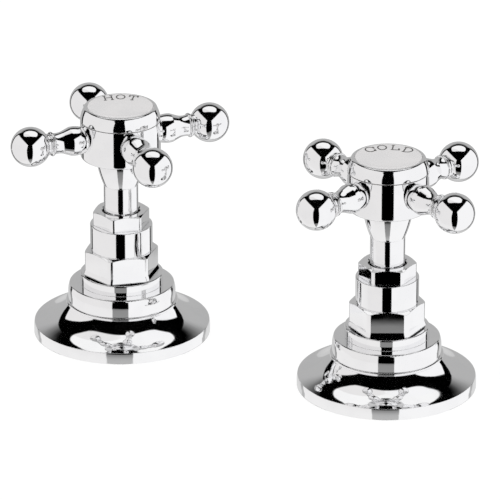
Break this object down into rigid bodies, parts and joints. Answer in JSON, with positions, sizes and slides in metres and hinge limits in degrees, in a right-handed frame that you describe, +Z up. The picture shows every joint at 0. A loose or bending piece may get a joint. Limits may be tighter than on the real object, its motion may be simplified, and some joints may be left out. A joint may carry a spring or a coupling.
{
  "type": "cross handle tap",
  "caption": "Matched hot and cold deck-mounted bath valves with ball-ended cross handles, stepped round escutcheons and quarter-turn ceramic-disc headwork.",
  "frame": {"origin": "on the axis of the cold valve, at the level of the deck that the escutcheons stand on", "axes": "+Z up along the valve spindles, -Y towards the fronts where the lettering is read from, +X to the right seen from the front"},
  "size_m": [0.167, 0.1203, 0.1682],
  "materials": {
    "chrome": "polished chrome plate on brass",
    "brass": "plain turned and cast brass",
    "porcelain": "glossy glazed porcelain with fired lettering",
    "ceramic": "lapped alumina",
    "rubber": "black rubber",
    "fibre": "red fibre",
    "steel": "stainless steel",
    "nylon": "natural acetal"
  },
  "bodies": {
    "root": {"hot_escutcheon": "chrome", "hot_locking_ring": "chrome", "hot_bonnet_nut": "chrome", "hot_sleeve": "chrome", "hot_gland_nut": "chrome", "hot_headwork_body": "brass", "hot_valve_body": "brass", "hot_back_nut": "brass", "hot_fixed_disc": "ceramic", "hot_flange_gasket": "rubber", "hot_seat_seal": "rubber", "hot_under_gasket": "rubber", "hot_headwork_gasket": "fibre", "hot_under_washer": "steel", "cold_escutcheon": "chrome", "cold_locking_ring": "chrome", "cold_bonnet_nut": "chrome", "cold_sleeve": "chrome", "cold_gland_nut": "chrome", "cold_headwork_body": "brass", "cold_valve_body": "brass", "cold_back_nut": "brass", "cold_fixed_disc": "ceramic", "cold_flange_gasket": "rubber", "cold_seat_seal": "rubber", "cold_under_gasket": "rubber", "cold_headwork_gasket": "fibre", "cold_under_washer": "steel"},
    "hot_handle": {"hot_spindle_shroud": "chrome", "hot_handle_hub": "chrome", "hot_handle_arm_1": "chrome", "hot_handle_arm_2": "chrome", "hot_handle_arm_3": "chrome", "hot_handle_arm_4": "chrome", "hot_index_bezel": "chrome", "hot_spindle": "brass", "hot_index_disc": "porcelain", "hot_moving_disc": "ceramic", "hot_spindle_ring_upper": "rubber", "hot_spindle_ring_lower": "rubber", "hot_handle_screw": "steel", "hot_screw_washer": "steel", "hot_spindle_clip": "steel", "hot_thrust_washer": "nylon"},
    "cold_handle": {"cold_spindle_shroud": "chrome", "cold_handle_hub": "chrome", "cold_handle_arm_1": "chrome", "cold_handle_arm_2": "chrome", "cold_handle_arm_3": "chrome", "cold_handle_arm_4": "chrome", "cold_index_bezel": "chrome", "cold_spindle": "brass", "cold_index_disc": "porcelain", "cold_moving_disc": "ceramic", "cold_spindle_ring_upper": "rubber", "cold_spindle_ring_lower": "rubber", "cold_handle_screw": "steel", "cold_screw_washer": "steel", "cold_spindle_clip": "steel", "cold_thrust_washer": "nylon"}
  },
  "joints": [
    {"name": "hot_turn", "type": "hinge", "parent": "root", "child": "hot_handle", "pos_m": [-0.09535, 0.0486, 0.0762], "axis": [0, 0, 1], "range_deg": [0, 90]},
    {"name": "cold_turn", "type": "hinge", "parent": "root", "child": "cold_handle", "pos_m": [0, 0, 0.0762], "axis": [0, 0, -1], "range_deg": [0, 90]}
  ]
}
